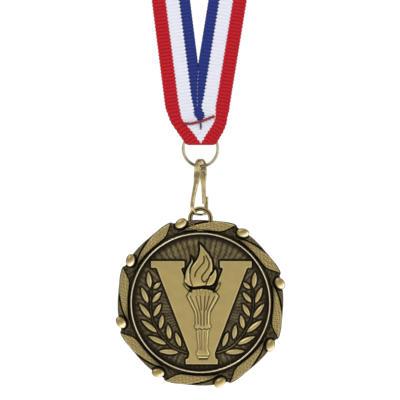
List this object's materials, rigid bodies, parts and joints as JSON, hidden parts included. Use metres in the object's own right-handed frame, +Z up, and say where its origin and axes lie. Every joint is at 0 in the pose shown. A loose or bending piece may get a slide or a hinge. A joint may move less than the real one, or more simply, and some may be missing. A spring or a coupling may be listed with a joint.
{
  "type": "medal",
  "caption": "Round cast award medal with torch and laurel relief, hung by a spring clip and split ring on a striped neck ribbon.",
  "frame": {"origin": "inner face of the webbing at the nape, where a neck or a display hook holds the ribbon", "axes": "+Z up along the hanging ribbon, -Y out of the medal's front face, +X to the right as seen from the front"},
  "size_m": [0.101, 0.053, 0.4098],
  "materials": {
    "webbing": "woven grosgrain, red, white and blue stripes",
    "thread": "dark red sewing thread",
    "ring_metal": "pale gold plated wire",
    "clip_metal": "bright brass plated spring strip",
    "antique_gold": "antique gold with dark recesses and satin high points"
  },
  "bodies": {
    "ribbon": {"ribbon": "webbing", "fold_stitching": "thread", "mitre_stitching": "thread"},
    "ring": {"jump_ring": "ring_metal"},
    "clip": {"clip_hook": "clip_metal"},
    "gate": {"clip_gate": "clip_metal"},
    "medal": {"medal": "antique_gold"}
  },
  "joints": [
    {"name": "ring_swing", "type": "hinge", "parent": "ribbon", "child": "ring", "pos_m": [0, -0.04857, -0.33794], "axis": [1, 0, 0], "range_deg": [-20, 20]},
    {"name": "clip_swing", "type": "hinge", "parent": "ring", "child": "clip", "pos_m": [0, -0.04857, -0.34614], "axis": [1, 0, 0], "range_deg": [-60, 60]},
    {"name": "gate_flex", "type": "hinge", "parent": "clip", "child": "gate", "pos_m": [0.00086, -0.04734, -0.34764], "axis": [-0.8192, 0.5736, 0], "range_deg": [0, 12], "stiffness_Nm_per_rad": 0.02},
    {"name": "medal_roll", "type": "hinge", "parent": "clip", "child": "medal", "pos_m": [0, -0.04857, -0.36021], "axis": [0, 1, 0], "range_deg": [-30, 30]}
  ]
}
